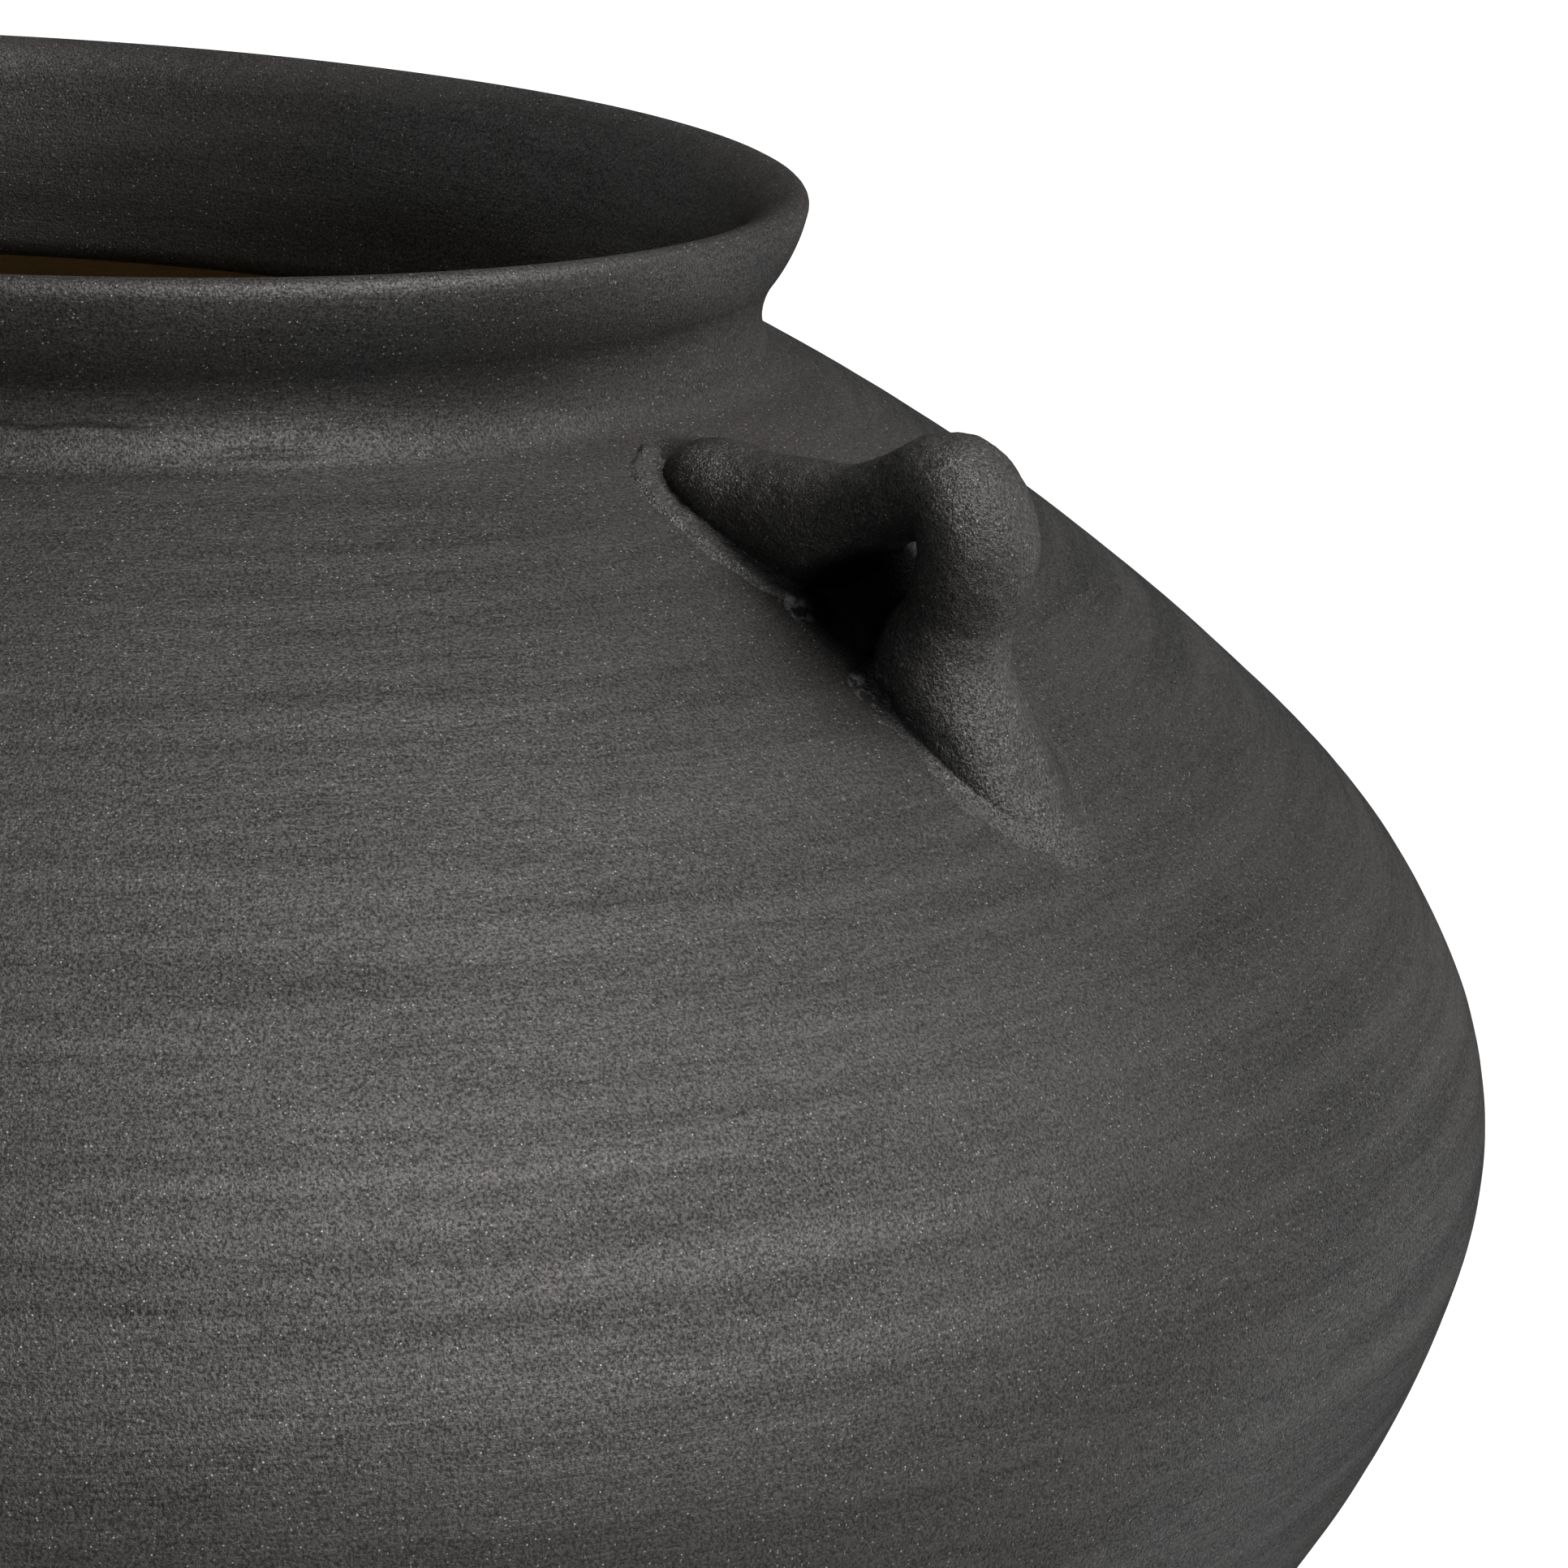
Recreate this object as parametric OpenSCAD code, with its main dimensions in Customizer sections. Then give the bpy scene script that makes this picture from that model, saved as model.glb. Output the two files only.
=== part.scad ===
// Wide-bellied black clay pot, hand built: a flat base slab, wall courses, a neck collar and a
// rim coil, joined along bevelled seams, with four loop handles luted to the shoulder.
// Millimetres, +Z up, origin at the centre of the resting face. A "slope" is the angle between
// the outside surface and the horizontal, going outward and down: 90 at the belly, 180 at the base.

/* [Body] */
// Outside radius of the neck at its narrowest
neck_radius = 119.8; // [110:0.1:130]
// Thickness of the fired wall
wall = 10; // [8:0.5:12]
// Thickness of the base slab
base_thickness = 12; // [10:0.5:15]
// Radius of the round where the inside wall meets the floor
floor_round = 26; // [20:1:30]

/* [Outside curve] */
// Slope where the shoulder leaves the neck
shoulder_slope = 25.5; // [24:0.1:27]
// Radius of the long shoulder arc
shoulder_radius = 362; // [350:1:375]
// Slope where the shoulder turns into the upper belly
upper_belly_slope = 42; // [41:0.1:43]
// Radius of the upper belly arc
upper_belly_radius = 95.5; // [90:0.5:101]
// Slope where the tight belly arc starts
belly_slope = 64.7; // [62:0.1:68]
// Radius of the tight belly arc
belly_radius = 48.8; // [44:0.1:54]
// Slope where the tight belly arc ends
under_belly_slope = 102.2; // [99:0.1:105]
// Radius of the arc under the belly
under_belly_radius = 131.5; // [120:0.5:140]
// Slope where the long lower wall starts
lower_slope = 119.2; // [118:0.1:120]
// Radius of the long lower wall
lower_radius = 700; // [600:10:800]
// Slope where the wall starts to turn in to the foot
foot_slope = 131; // [130:0.5:131.5]
// Radius of the turn above the foot
foot_radius = 250; // [200:10:280]
// Slope where the edge of the base starts
base_edge_slope = 137; // [135:0.5:139]
// Radius of the rounded edge of the base
base_edge_radius = 16; // [14:0.5:18]

/* [Neck and rim] */
// Radius of the hollow where the neck meets the shoulder
crease_radius = 7.2; // [6:0.1:9]
// Radius of the hollow under the flared rim
flare_radius = 10.7; // [10:0.1:11.5]
// How far the neck leans out under the rim, in degrees
flare_lean = 33.8; // [32:0.1:35]
// Radius of the outer face of the rim
rim_face_radius = 27; // [24:0.5:30]
// How far the outer face still leans down where the rolled edge starts, in degrees
rim_face_lean = 10.3; // [9:0.1:12]
// Radius of the rolled edge of the rim
rim_edge_radius = 2.8; // [2.6:0.1:3.2]
// Direction in which the rolled edge faces where it ends: 90 is straight up
rim_edge_end = 106.6; // [105:0.1:108]
// Radius of the rounded inner face of the rim
rim_inner_radius = 10.3; // [10:0.1:11]
// Direction in which the rounded inner face ends: 180 is straight in
rim_inner_end = 158.5; // [157.5:0.1:160]
// Radius of the long curve down the inside of the neck
throat_curve_radius = 58; // [54:1:60]
// Radius of the inner edge where the neck opens into the body
throat_edge_radius = 3.5; // [2.5:0.1:4]
// Radius of the shoulder's inner face, which thickens the wall towards the neck
shoulder_inner_radius = 280; // [270:1:300]

/* [Handles] */
// Scale on the width of the clay loop
handle_width_scale = 1; // [0.9:0.01:1.1]
// Scale on the thickness of the clay loop
handle_thickness_scale = 1; // [0.9:0.01:1.05]
// Thickness of the clay luting under each foot
luting_thickness = 1.2; // [0.8:0.1:2]

/* [Hidden] */

clay_color = [0.075, 0.072, 0.07];
luting_color = [0.11, 0.108, 0.105];
turn_facets = 144;

// Angle of each handle about the pot's axis
right_angle = 0;
back_angle = 90;
left_angle = 180;
front_angle = 270;

// Angle covered by one facet of the wall arcs and of the small rounds, in degrees
wall_step = 1;
round_step = 8;

// Bevelled seams, as the slopes of their outer and inner edges
base_seam = [134, 162];
lower_seam = [118, 121];
belly_seam = [41, 46];
// Slope of the hollow at the collar's outer seam, and the depth of its inner seam below the crown
collar_seam_slope = 75;
collar_seam_depth = 29;
// Inner edge of the rim coil's seam, as a direction angle on the inside of the neck
rim_seam_inner = 164;

// Direction away from the pot's middle at a slope or at a direction angle
function away(slope) = [sin(slope), cos(slope)];
function toward(angle) = [cos(angle), sin(angle)];

// Outside arcs from the neck down: radius and the slope where each one ends
radii = [shoulder_radius, upper_belly_radius, belly_radius, under_belly_radius,
         lower_radius, foot_radius, base_edge_radius];
ends = [upper_belly_slope, belly_slope, under_belly_slope, lower_slope,
        foot_slope, base_edge_slope, 180];
// Place of the turn above the foot in these lists
foot_arc = 5;

// Points of the crease between the neck and the shoulder, with the neck's narrowest circle at z = 0
crease_center = [neck_radius + crease_radius, 0];
crease_end = crease_center - crease_radius * away(shoulder_slope);

function raw_center(i) = i == 0
    ? crease_end - radii[0] * away(shoulder_slope)
    : raw_center(i - 1) + (radii[i - 1] - radii[i]) * away(ends[i - 1]);
neck_height = -(raw_center(len(radii) - 1) + base_edge_radius * away(180))[1];
lift = [0, neck_height];

function arc_at(slope, i = 0) = (i == len(radii) - 1 || slope <= ends[i]) ? i : arc_at(slope, i + 1);
function arc_center(i) = raw_center(i) + lift;
function outer_point(slope) = let (i = arc_at(slope)) arc_center(i) + radii[i] * away(slope);
function crease_point(slope) = crease_center + lift - crease_radius * away(slope);

// Inside wall: its own arc under the shoulder, an even offset below that, then the floor round
shoulder_inner_center = arc_center(1) + (upper_belly_radius - wall - shoulder_inner_radius)
    * away(upper_belly_slope);
foot_inner_radius = foot_radius - wall;
floor_start = acos((base_thickness + floor_round - arc_center(foot_arc)[1])
    / (foot_inner_radius - floor_round));
floor_center = arc_center(foot_arc) + (foot_inner_radius - floor_round) * away(floor_start);
function inner_point(slope) =
    slope <= upper_belly_slope ? shoulder_inner_center + shoulder_inner_radius * away(slope)
    : slope >= floor_start ? floor_center + floor_round * away(slope)
    : arc_center(arc_at(slope)) + (radii[arc_at(slope)] - wall) * away(slope);

// Slopes between two limits, stopping at every place where one arc meets the next
breaks = [upper_belly_slope, belly_slope, under_belly_slope, lower_slope, foot_slope,
          floor_start, base_edge_slope];
function stops(low, high) = [low, for (s = breaks) if (s > low && s < high) s, high];
function slopes(low, high, most = wall_step) = let (k = stops(low, high))
    [for (i = [0 : len(k) - 2]) let (n = ceil((k[i + 1] - k[i]) / most))
        for (j = [0 : n - 1]) k[i] + (k[i + 1] - k[i]) * j / n, high];
function reverse(list) = [for (i = [len(list) - 1 : -1 : 0]) list[i]];
function outer_points(low, high) = [for (s = slopes(low, high)) outer_point(s)];
function inner_points(low, high) = [for (s = slopes(low, high)) inner_point(s)];
function crease_points(low, high) = [for (s = angles(low, high)) crease_point(s)];
function angles(low, high) = let (n = ceil(abs(high - low) / round_step))
    [for (i = [0 : n]) low + (high - low) * i / n];

// Rim arcs, by direction angle: under the flare, outer face, rolled edge, inner face, throat
rim_angles = [-flare_lean, -rim_face_lean, rim_edge_end, rim_inner_end, 180];
rim_radii = [rim_face_radius, rim_edge_radius, rim_inner_radius, throat_curve_radius];
flare_center = [neck_radius + flare_radius, neck_height];
flare_end = flare_center + flare_radius * [-cos(flare_lean), sin(flare_lean)];
function rim_center(i) = i == 0
    ? flare_end - rim_radii[0] * toward(rim_angles[0])
    : rim_center(i - 1) + (rim_radii[i - 1] - rim_radii[i]) * toward(rim_angles[i]);
function rim_arc_at(angle, i = 0) =
    (i == len(rim_radii) - 1 || angle <= rim_angles[i + 1]) ? i : rim_arc_at(angle, i + 1);
function rim_point(angle) = let (i = rim_arc_at(angle)) rim_center(i) + rim_radii[i] * toward(angle);
function rim_points(low, high) =
    let (k = [low, for (a = rim_angles) if (a > low && a < high) a, high])
    [for (i = [0 : len(k) - 2]) let (n = ceil((k[i + 1] - k[i]) / round_step))
        for (j = [0 : n - 1]) rim_point(k[i] + (k[i + 1] - k[i]) * j / n), rim_point(high)];
crown_height = rim_center(1)[1] + rim_edge_radius;
throat_radius = rim_point(180)[0];

// The inner edge at the foot of the throat, tangent to the throat and to the shoulder's inner face
throat_edge_x = throat_radius + throat_edge_radius;
throat_edge_slope = asin((throat_edge_x - shoulder_inner_center[0])
    / (shoulder_inner_radius + throat_edge_radius));
throat_edge_center = shoulder_inner_center
    + (shoulder_inner_radius + throat_edge_radius) * away(throat_edge_slope);
function throat_edge_points() =
    [for (a = angles(180, 270 - throat_edge_slope))
        throat_edge_center + throat_edge_radius * toward(a)];
collar_seam_inner = [throat_radius, crown_height - collar_seam_depth];

// Handle loop in its own upright plane, foot to foot over the top:
// distance from the pot's axis, depth below the crown, width across, thickness
stations = [
    [130, 33, 12, 6],
    [135, 31, 19, 12],
    [143, 32.5, 20, 15],
    [155, 31.5, 17.5, 15],
    [166, 27, 16.5, 13.5],
    [175, 25.5, 17.5, 15.5],
    [178.5, 32.5, 18.5, 15.5],
    [176, 42, 16.5, 14],
    [174, 50, 18, 19],
    [181, 61, 17, 15],
    [190, 69.5, 12, 9],
    [197, 77, 6, 5]
];
pieces_per_station = 5;
loop_sides = 28;

// Stretch of the shoulder under one handle: angle about the axis, slopes, and how deep it is cut away
foot_turn = 24;
ground_low = shoulder_slope - 1.9;
ground_high = upper_belly_slope - 0.1;
ground_depth = 60;

// Leaf-shaped luting pads: place on the shoulder as a slope, length down the slope, width
upper_pad = [28.6, 33, 29];
lower_pad = [36, 54, 27];
pad_reach = 20;

// Catmull-Rom curve through the stations
last_station = len(stations) - 1;
function station(i) = i < 0 ? 2 * stations[0] - stations[1]
    : i > last_station ? 2 * stations[last_station] - stations[last_station - 1]
    : stations[i];
function blend(a, b, c, d, t) = 0.5 * (2 * b + (c - a) * t + (2 * a - 5 * b + 4 * c - d) * t * t
    + (3 * b - a - 3 * c + d) * t * t * t);
function loop_at(u) = let (i = min(floor(u), last_station - 1))
    blend(station(i - 1), station(i), station(i + 1), station(i + 2), u - i);

// Centre of the loop and the direction it runs in, both as [outward, up]
function loop_center(u) = let (s = loop_at(u)) [s[0], crown_height - s[1]];
function loop_heading(u) = let (reach = 0.02, d = loop_center(min(u + reach, last_station))
    - loop_center(max(u - reach, 0))) d / norm(d);
function loop_ring(u) = let (s = loop_at(u), c = loop_center(u), d = loop_heading(u),
    half_width = s[2] * handle_width_scale / 2, half_thick = s[3] * handle_thickness_scale / 2)
    [for (k = [0 : loop_sides - 1]) let (a = 360 * k / loop_sides)
        [c[0] - d[1] * half_thick * sin(a), half_width * cos(a), c[1] + d[0] * half_thick * sin(a)]];

module revolve(points) {
    rotate_extrude($fn = turn_facets)
        polygon(points);
}

module base_slab() {
    color(clay_color)
        revolve(concat([[0, 0]], reverse(outer_points(base_seam[0], 180)),
            inner_points(base_seam[1], 180), [[0, base_thickness]]));
}

module lower_wall() {
    color(clay_color)
        revolve(concat(outer_points(lower_seam[0], base_seam[0]),
            reverse(inner_points(lower_seam[1], base_seam[1]))));
}

module belly_wall() {
    color(clay_color)
        revolve(concat(outer_points(belly_seam[0], lower_seam[0]),
            reverse(inner_points(belly_seam[1], lower_seam[1]))));
}

module shoulder_wall() {
    color(clay_color)
        revolve(concat(crease_points(collar_seam_slope, shoulder_slope),
            outer_points(shoulder_slope, belly_seam[0]),
            reverse(inner_points(throat_edge_slope, belly_seam[1])),
            reverse(throat_edge_points()), [collar_seam_inner]));
}

module neck_collar() {
    color(clay_color)
        revolve(concat(crease_points(collar_seam_slope, 90),
            [for (a = angles(0, flare_lean)) flare_center + flare_radius * [-cos(a), sin(a)]],
            rim_points(rim_seam_inner, 180), [collar_seam_inner]));
}

module rim_coil() {
    color(clay_color)
        revolve(rim_points(-flare_lean, rim_seam_inner));
}

// Part of the shoulder's outside surface near one handle, between two heights above it
module shoulder_layer(low, high) {
    rotate([0, 0, -foot_turn / 2])
        rotate_extrude(angle = foot_turn, $fn = turn_facets)
            polygon(concat(
                [for (s = slopes(ground_low, ground_high)) outer_point(s) + high * away(s)],
                [for (s = reverse(slopes(ground_low, ground_high))) outer_point(s) + low * away(s)]));
}

module loop_sweep() {
    last_ring = pieces_per_station * last_station;
    points = [for (r = [0 : last_ring]) each loop_ring(r / pieces_per_station)];
    sides = [for (r = [0 : last_ring - 1]) for (k = [0 : loop_sides - 1])
        let (n = (k + 1) % loop_sides, a = r * loop_sides)
        [a + k, a + k + loop_sides, a + n + loop_sides, a + n]];
    start_cap = [for (k = [0 : loop_sides - 1]) k];
    end_cap = [for (k = [loop_sides - 1 : -1 : 0]) last_ring * loop_sides + k];
    polyhedron(points, concat(sides, [start_cap, end_cap]));
}

module handle(angle) {
    color(clay_color)
        rotate([0, 0, angle])
            difference() {
                loop_sweep();
                shoulder_layer(-ground_depth, luting_thickness);
            }
}

// A leaf outline from two crossing circles, long in X
module leaf(length, width) {
    radius = (length * length + width * width) / (4 * width);
    intersection() {
        translate([0, radius - width / 2])
            circle(radius, $fn = turn_facets);
        translate([0, width / 2 - radius])
            circle(radius, $fn = turn_facets);
    }
}

module luting(pad, angle) {
    spot = outer_point(pad[0]);
    color(luting_color)
        rotate([0, 0, angle])
            intersection() {
                shoulder_layer(0, luting_thickness);
                translate([spot[0], 0, spot[1]])
                    rotate([0, pad[0], 0])
                        translate([0, 0, -pad_reach / 2])
                            linear_extrude(pad_reach)
                                leaf(pad[1], pad[2]);
            }
}

base_slab();
lower_wall();
belly_wall();
shoulder_wall();
neck_collar();
rim_coil();
handle(right_angle);  // handle_right
handle(back_angle);  // handle_back
handle(left_angle);  // handle_left
handle(front_angle);  // handle_front
luting(upper_pad, right_angle);  // upper_luting_right
luting(upper_pad, back_angle);  // upper_luting_back
luting(upper_pad, left_angle);  // upper_luting_left
luting(upper_pad, front_angle);  // upper_luting_front
luting(lower_pad, right_angle);  // lower_luting_right
luting(lower_pad, back_angle);  // lower_luting_back
luting(lower_pad, left_angle);  // lower_luting_left
luting(lower_pad, front_angle);  // lower_luting_front
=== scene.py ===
import math

import bpy
import numpy as np
from mathutils import Matrix, Vector


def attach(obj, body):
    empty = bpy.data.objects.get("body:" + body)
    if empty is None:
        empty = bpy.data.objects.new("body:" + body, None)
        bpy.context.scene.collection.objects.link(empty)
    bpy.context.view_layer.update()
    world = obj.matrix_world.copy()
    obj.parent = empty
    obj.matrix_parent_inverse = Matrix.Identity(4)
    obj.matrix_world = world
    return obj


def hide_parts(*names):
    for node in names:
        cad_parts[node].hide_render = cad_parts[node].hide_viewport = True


# The looks of the hand-built black clay pot. Lengths are in millimetres until a mesh is made.
# Wall courses are turned from one continuous skin with the marks of hands and wiping on it, handles
# are sculpted as a distance field that grows out of the shoulder, and luting is a rough raised skin.

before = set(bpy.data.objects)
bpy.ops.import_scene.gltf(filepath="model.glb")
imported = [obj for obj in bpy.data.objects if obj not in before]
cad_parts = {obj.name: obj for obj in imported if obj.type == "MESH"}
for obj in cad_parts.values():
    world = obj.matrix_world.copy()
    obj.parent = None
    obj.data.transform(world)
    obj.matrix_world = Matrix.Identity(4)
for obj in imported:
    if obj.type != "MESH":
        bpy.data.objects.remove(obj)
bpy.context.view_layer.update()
MM = 0.001

# ---------------------------------------------------------------- dimensions of the wall, as in the frame
NECK_RADIUS = 119.8
WALL = 10
BASE_THICKNESS = 12
FLOOR_ROUND = 26
SHOULDER_SLOPE = 25.5
# Outside arcs from the neck down: radius, and the slope where each one ends
OUTER_ARCS = [(362, 42), (95.5, 64.7), (48.8, 102.2), (131.5, 119.2), (700, 131), (250, 137), (16, 180)]
FOOT_ARC = 5
CREASE_RADIUS = 7.2
FLARE_RADIUS = 10.7
FLARE_LEAN = 33.8
# Rim arcs by direction angle: radius, and the angle where each one ends
RIM_ARCS = [(27, -10.3), (2.8, 106.6), (10.3, 158.5), (58, 180)]
THROAT_EDGE_RADIUS = 3.5
SHOULDER_INNER_RADIUS = 280
# Seams between the courses, as slopes outside and inside
BASE_SEAM = (134, 162)
LOWER_SEAM = (118, 121)
BELLY_SEAM = (41, 46)
COLLAR_SEAM_SLOPE = 75
COLLAR_SEAM_DEPTH = 29
RIM_SEAM_INNER = 164

# Mesh sizes: points around the pot, and spacing down its section
AROUND = 480
FINE, CREASE_STEP, THROAT_STEP, INNER_STEP, FLAT_STEP = 0.9, 0.45, 1.3, 3.0, 6.0

# The handle loop has its own shape here, a few millimetres from the frame's plainer loop. From foot to
# foot over the top: distance from the axis, depth below the crown, width, thickness
STATIONS = [
    (130, 33, 12, 6), (135, 31, 19, 12), (143, 33, 20, 16), (153, 33.5, 18.5, 17.5),
    (161, 30.5, 18, 13), (168, 27, 18, 12), (177, 24.3, 20, 15), (180.5, 31.5, 21, 15.5),
    (177, 42, 19.5, 14.5), (174.5, 50, 22, 19), (180.5, 60, 21, 15), (186.5, 67, 17, 10),
    (190.5, 72.5, 9, 5),
]
HANDLE_ANGLES = {"right": 0, "back": 90, "left": 180, "front": 270}
HANDLE_BOX = ((121, -20, 238), (206, 20, 308))
HANDLE_STEP = 0.42
# Only the grid points this near to the loop are sculpted
SCULPTED_REACH = 9.5
LUTING_STEP = 0.4
# A luting dab: how far it is sunk into the shoulder, the height that it is cut off at, its thickness
LUTING_SUNK, LUTING_CUT, LUTING_THICK = 0.09, -0.13, 1.1
# The line through both feet: its upper end as distance from the axis and depth, its drop, its cosine
FEET_OUT, FEET_DEPTH, FEET_DROP, FEET_COSINE = 130.7, 29.3, 0.64, 0.842
# The loop leans sideways about a line at this height above the line through its feet
SIDE_LEAN, LEAN_HEIGHT = 0.2, 9
# A wedge of clay pressed in behind each loop: distance from the axis, offset, depth, and its half sizes
WEDGE_PLACE, WEDGE_SIZE = (158.5, 8, 42), (8.5, 6, 9.5)
# The pocket under each loop, which gets near-black painted shade, and the pale smears of slip at its mouth,
# as place and half sizes
POCKET = ((162.5, 0, 280.5), (11.5, 11.2, 11.5))
SMEARS = [((155.9, 7.3, 278.9), (4, 3, 3)), ((169.1, 9.2, 270.4), (4, 3, 3))]
# Each luting dab: slope of the shoulder at its middle, half length and half width of the patch it is
# cut from, reach of its raised edge past the loop, unevenness of that edge, and height of the edge
LUTINGS = {"upper": (28.6, 20, 19, 4.8, 0.9, 0.75), "lower": (36, 31, 18, 0.8, 0.5, 0.15)}


# ---------------------------------------------------------------- the section of the pot
def away(slope):
    """Direction out of the wall where the outside has this slope, as (outward, up)."""
    a = np.radians(slope)
    return np.stack([np.sin(a), np.cos(a)], -1)


def toward(angle):
    a = np.radians(angle)
    return np.stack([np.cos(a), np.sin(a)], -1)


RADII = [radius for radius, end in OUTER_ARCS]
ENDS = [end for radius, end in OUTER_ARCS]
centers = [np.array([NECK_RADIUS + CREASE_RADIUS, 0]) - (CREASE_RADIUS + RADII[0]) * away(SHOULDER_SLOPE)]
for i in range(1, len(RADII)):
    centers.append(centers[-1] + (RADII[i - 1] - RADII[i]) * away(ENDS[i - 1]))
NECK_HEIGHT = RADII[-1] - centers[-1][1]
CENTERS = [c + (0, NECK_HEIGHT) for c in centers]
CREASE_CENTER = np.array([NECK_RADIUS + CREASE_RADIUS, NECK_HEIGHT])
FLARE_CENTER = np.array([NECK_RADIUS + FLARE_RADIUS, NECK_HEIGHT])
SHOULDER_INNER_CENTER = CENTERS[1] + (RADII[1] - WALL - SHOULDER_INNER_RADIUS) * away(ENDS[0])
FOOT_INNER = RADII[FOOT_ARC] - WALL - FLOOR_ROUND
FLOOR_START = math.degrees(math.acos((BASE_THICKNESS + FLOOR_ROUND - CENTERS[FOOT_ARC][1]) / FOOT_INNER))
FLOOR_CENTER = CENTERS[FOOT_ARC] + FOOT_INNER * away(FLOOR_START)

rim_centers = [FLARE_CENTER + FLARE_RADIUS * toward(180 - FLARE_LEAN) - RIM_ARCS[0][0] * toward(-FLARE_LEAN)]
for (before, angle), (after, _) in zip(RIM_ARCS, RIM_ARCS[1:]):
    rim_centers.append(rim_centers[-1] + (before - after) * toward(angle))
CROWN = rim_centers[1][1] + RIM_ARCS[1][0]
THROAT_RADIUS = rim_centers[-1][0] - RIM_ARCS[-1][0]
EDGE_REACH = SHOULDER_INNER_RADIUS + THROAT_EDGE_RADIUS
EDGE_SLOPE = math.degrees(math.asin(
    (THROAT_RADIUS + THROAT_EDGE_RADIUS - SHOULDER_INNER_CENTER[0]) / EDGE_REACH))
EDGE_CENTER = SHOULDER_INNER_CENTER + EDGE_REACH * away(EDGE_SLOPE)


def arc_index(slope):
    return next(i for i, end in enumerate(ENDS) if slope <= end)


def outer_point(slope):
    i = arc_index(slope)
    return CENTERS[i] + RADII[i] * away(slope)


def inner_point(slope):
    if slope >= FLOOR_START:
        return FLOOR_CENTER + FLOOR_ROUND * away(slope)
    i = arc_index(slope)
    return CENTERS[i] + (RADII[i] - WALL) * away(slope)


def crease_point(slope):
    return CREASE_CENTER - CREASE_RADIUS * away(slope)


def arc(center, radius, start, end, turn, facing, step):
    """Points of an arc and the directions out of the clay there. facing is -1 on the clay's hollow side."""
    n = max(1, math.ceil(abs(math.radians(end - start) * radius) / step))
    d = turn(np.linspace(start, end, n + 1))
    return center + radius * d, facing * d


def line(start, end, normal, step):
    n = max(1, math.ceil(np.linalg.norm(np.subtract(end, start)) / step))
    t = np.linspace(0, 1, n + 1)[:, None]
    return (1 - t) * start + t * np.array(end), np.tile(np.array(normal, float), (n + 1, 1))


def wall_runs(slopes, inset, facing, step):
    """The arcs of the wall through these slopes, at a depth inside its outer face."""
    runs = []
    for start, end in zip(slopes, slopes[1:]):
        i = arc_index((start + end) / 2)
        runs.append(arc(CENTERS[i], RADII[i] - inset, start, end, away, facing, step))
    return runs


def whole_skin():
    """The closed skin of the pot in section, from the middle of its underside, up the outside, over the
    rim, down the inside to the middle of its floor: points, directions out, and length along it."""
    outer = sorted([SHOULDER_SLOPE, BELLY_SEAM[0], LOWER_SEAM[0], BASE_SEAM[0]] + ENDS)
    inner = sorted([s for s in ENDS if s < FLOOR_START] + [BELLY_SEAM[1], LOWER_SEAM[1], FLOOR_START])
    foot = outer_point(180)
    collar_seam = (THROAT_RADIUS, CROWN - COLLAR_SEAM_DEPTH)
    runs = [line((0, 0), foot, (0, -1), FLAT_STEP)]
    runs += wall_runs(outer[::-1], 0, 1, FINE)
    runs += [arc(CREASE_CENTER, -CREASE_RADIUS, a, b, away, 1, CREASE_STEP)
             for a, b in ((SHOULDER_SLOPE, COLLAR_SEAM_SLOPE), (COLLAR_SEAM_SLOPE, 90))]
    runs.append(arc(FLARE_CENTER, FLARE_RADIUS, 180, 180 - FLARE_LEAN, toward, -1, CREASE_STEP))
    start = -FLARE_LEAN
    for center, (radius, end) in zip(rim_centers, RIM_ARCS):
        for stop in ([RIM_SEAM_INNER, end] if start < RIM_SEAM_INNER < end else [end]):
            runs.append(arc(center, radius, start, stop, toward, 1, FINE))
            start = stop
    throat_top, throat_foot = (THROAT_RADIUS, rim_centers[-1][1]), (THROAT_RADIUS, EDGE_CENTER[1])
    for start, end in ((throat_top, collar_seam), (collar_seam, throat_foot)):
        runs.append(line(start, end, (-1, 0), THROAT_STEP))
    runs.append(arc(EDGE_CENTER, THROAT_EDGE_RADIUS, 180, 270 - EDGE_SLOPE, toward, 1, CREASE_STEP))
    runs.append(arc(SHOULDER_INNER_CENTER, SHOULDER_INNER_RADIUS, EDGE_SLOPE, ENDS[0], away, -1, INNER_STEP))
    runs += wall_runs(inner, WALL, -1, INNER_STEP)
    runs += [arc(FLOOR_CENTER, FLOOR_ROUND, a, b, away, -1, INNER_STEP)
             for a, b in ((FLOOR_START, BASE_SEAM[1]), (BASE_SEAM[1], 180))]
    runs.append(line(inner_point(180), (0, BASE_THICKNESS), (0, 1), FLAT_STEP))
    points = np.concatenate([runs[0][0]] + [p[1:] for p, d in runs[1:]])
    facing = np.concatenate([runs[0][1]] + [d[1:] for p, d in runs[1:]])
    steps = np.linalg.norm(np.diff(points, axis=0), axis=1)
    return points, facing, np.concatenate([[0], np.cumsum(steps)])


SKIN, FACING, RUN = whole_skin()


def row_of(point):
    """Row of the skin at a seam point. It fails if the skin has no row there."""
    gaps = np.linalg.norm(SKIN - point, axis=1)
    row = int(gaps.argmin())
    assert gaps[row] < 1e-6, f"no row of the skin at {point}"
    return row


SHOULDER_RUN = RUN[row_of(crease_point(SHOULDER_SLOPE))]
CREASE_RUN = RUN[row_of(crease_point(90))]
CROWN_RUN = RUN[int(SKIN[:, 1].argmax())]
THROAT_RUN = RUN[row_of((THROAT_RADIUS, rim_centers[-1][1]))]
INSIDE_RUN = RUN[row_of(EDGE_CENTER + THROAT_EDGE_RADIUS * toward(270 - EDGE_SLOPE))]
FOOT_RUN = RUN[row_of(outer_point(180))]


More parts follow.
